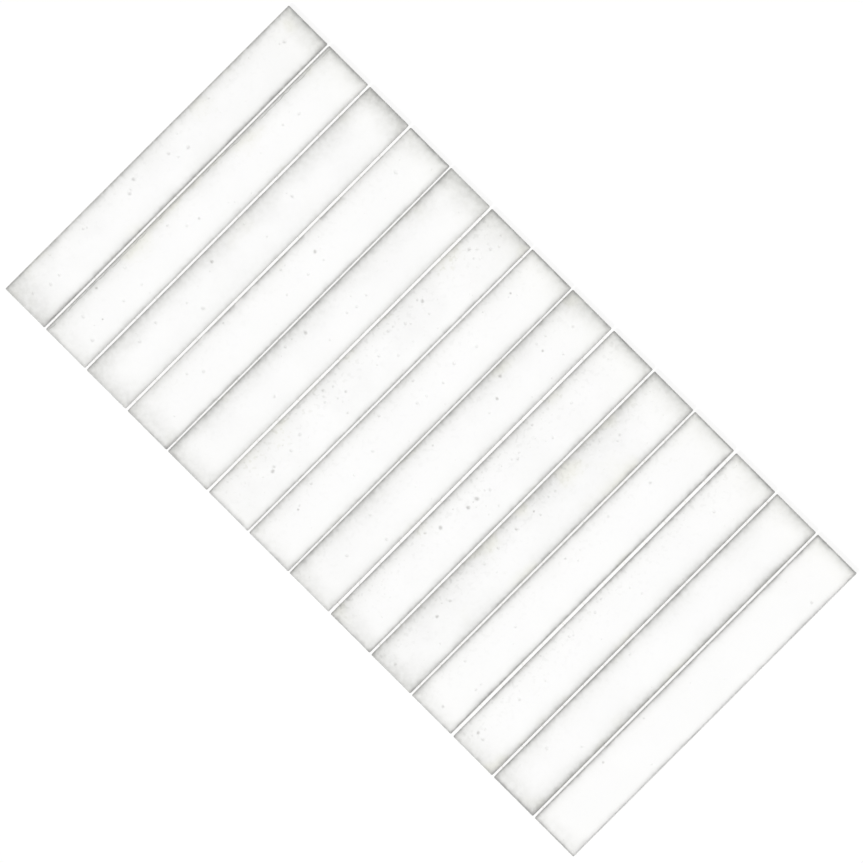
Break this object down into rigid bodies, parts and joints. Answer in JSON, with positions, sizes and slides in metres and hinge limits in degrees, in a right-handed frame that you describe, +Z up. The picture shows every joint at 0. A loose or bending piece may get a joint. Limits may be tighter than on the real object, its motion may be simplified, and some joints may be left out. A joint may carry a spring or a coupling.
{
  "type": "finger mosaic tile",
  "caption": "Flat sheet of slim white glazed ceramic fingers, side by side with narrow open joints, held together by a net on their backs.",
  "frame": {"origin": "middle of the sheet's footprint, on the surface that the net lies on", "axes": "+X along the row, across the fingers; +Y along each finger; +Z up, out of the glazed faces"},
  "size_m": [0.2904, 0.145, 0.0075],
  "materials": {
    "glazed_finger": "white gloss glaze over a fired off-white body, bare on the back",
    "net": "bonded glass yarn, white"
  },
  "bodies": {
    "root": {"finger_01": "glazed_finger", "finger_02": "glazed_finger", "finger_03": "glazed_finger", "finger_04": "glazed_finger", "finger_05": "glazed_finger", "finger_06": "glazed_finger", "finger_07": "glazed_finger", "finger_08": "glazed_finger", "finger_09": "glazed_finger", "finger_10": "glazed_finger", "finger_11": "glazed_finger", "finger_12": "glazed_finger", "finger_13": "glazed_finger", "finger_14": "glazed_finger", "backing_net": "net"}
  },
  "joints": []
}
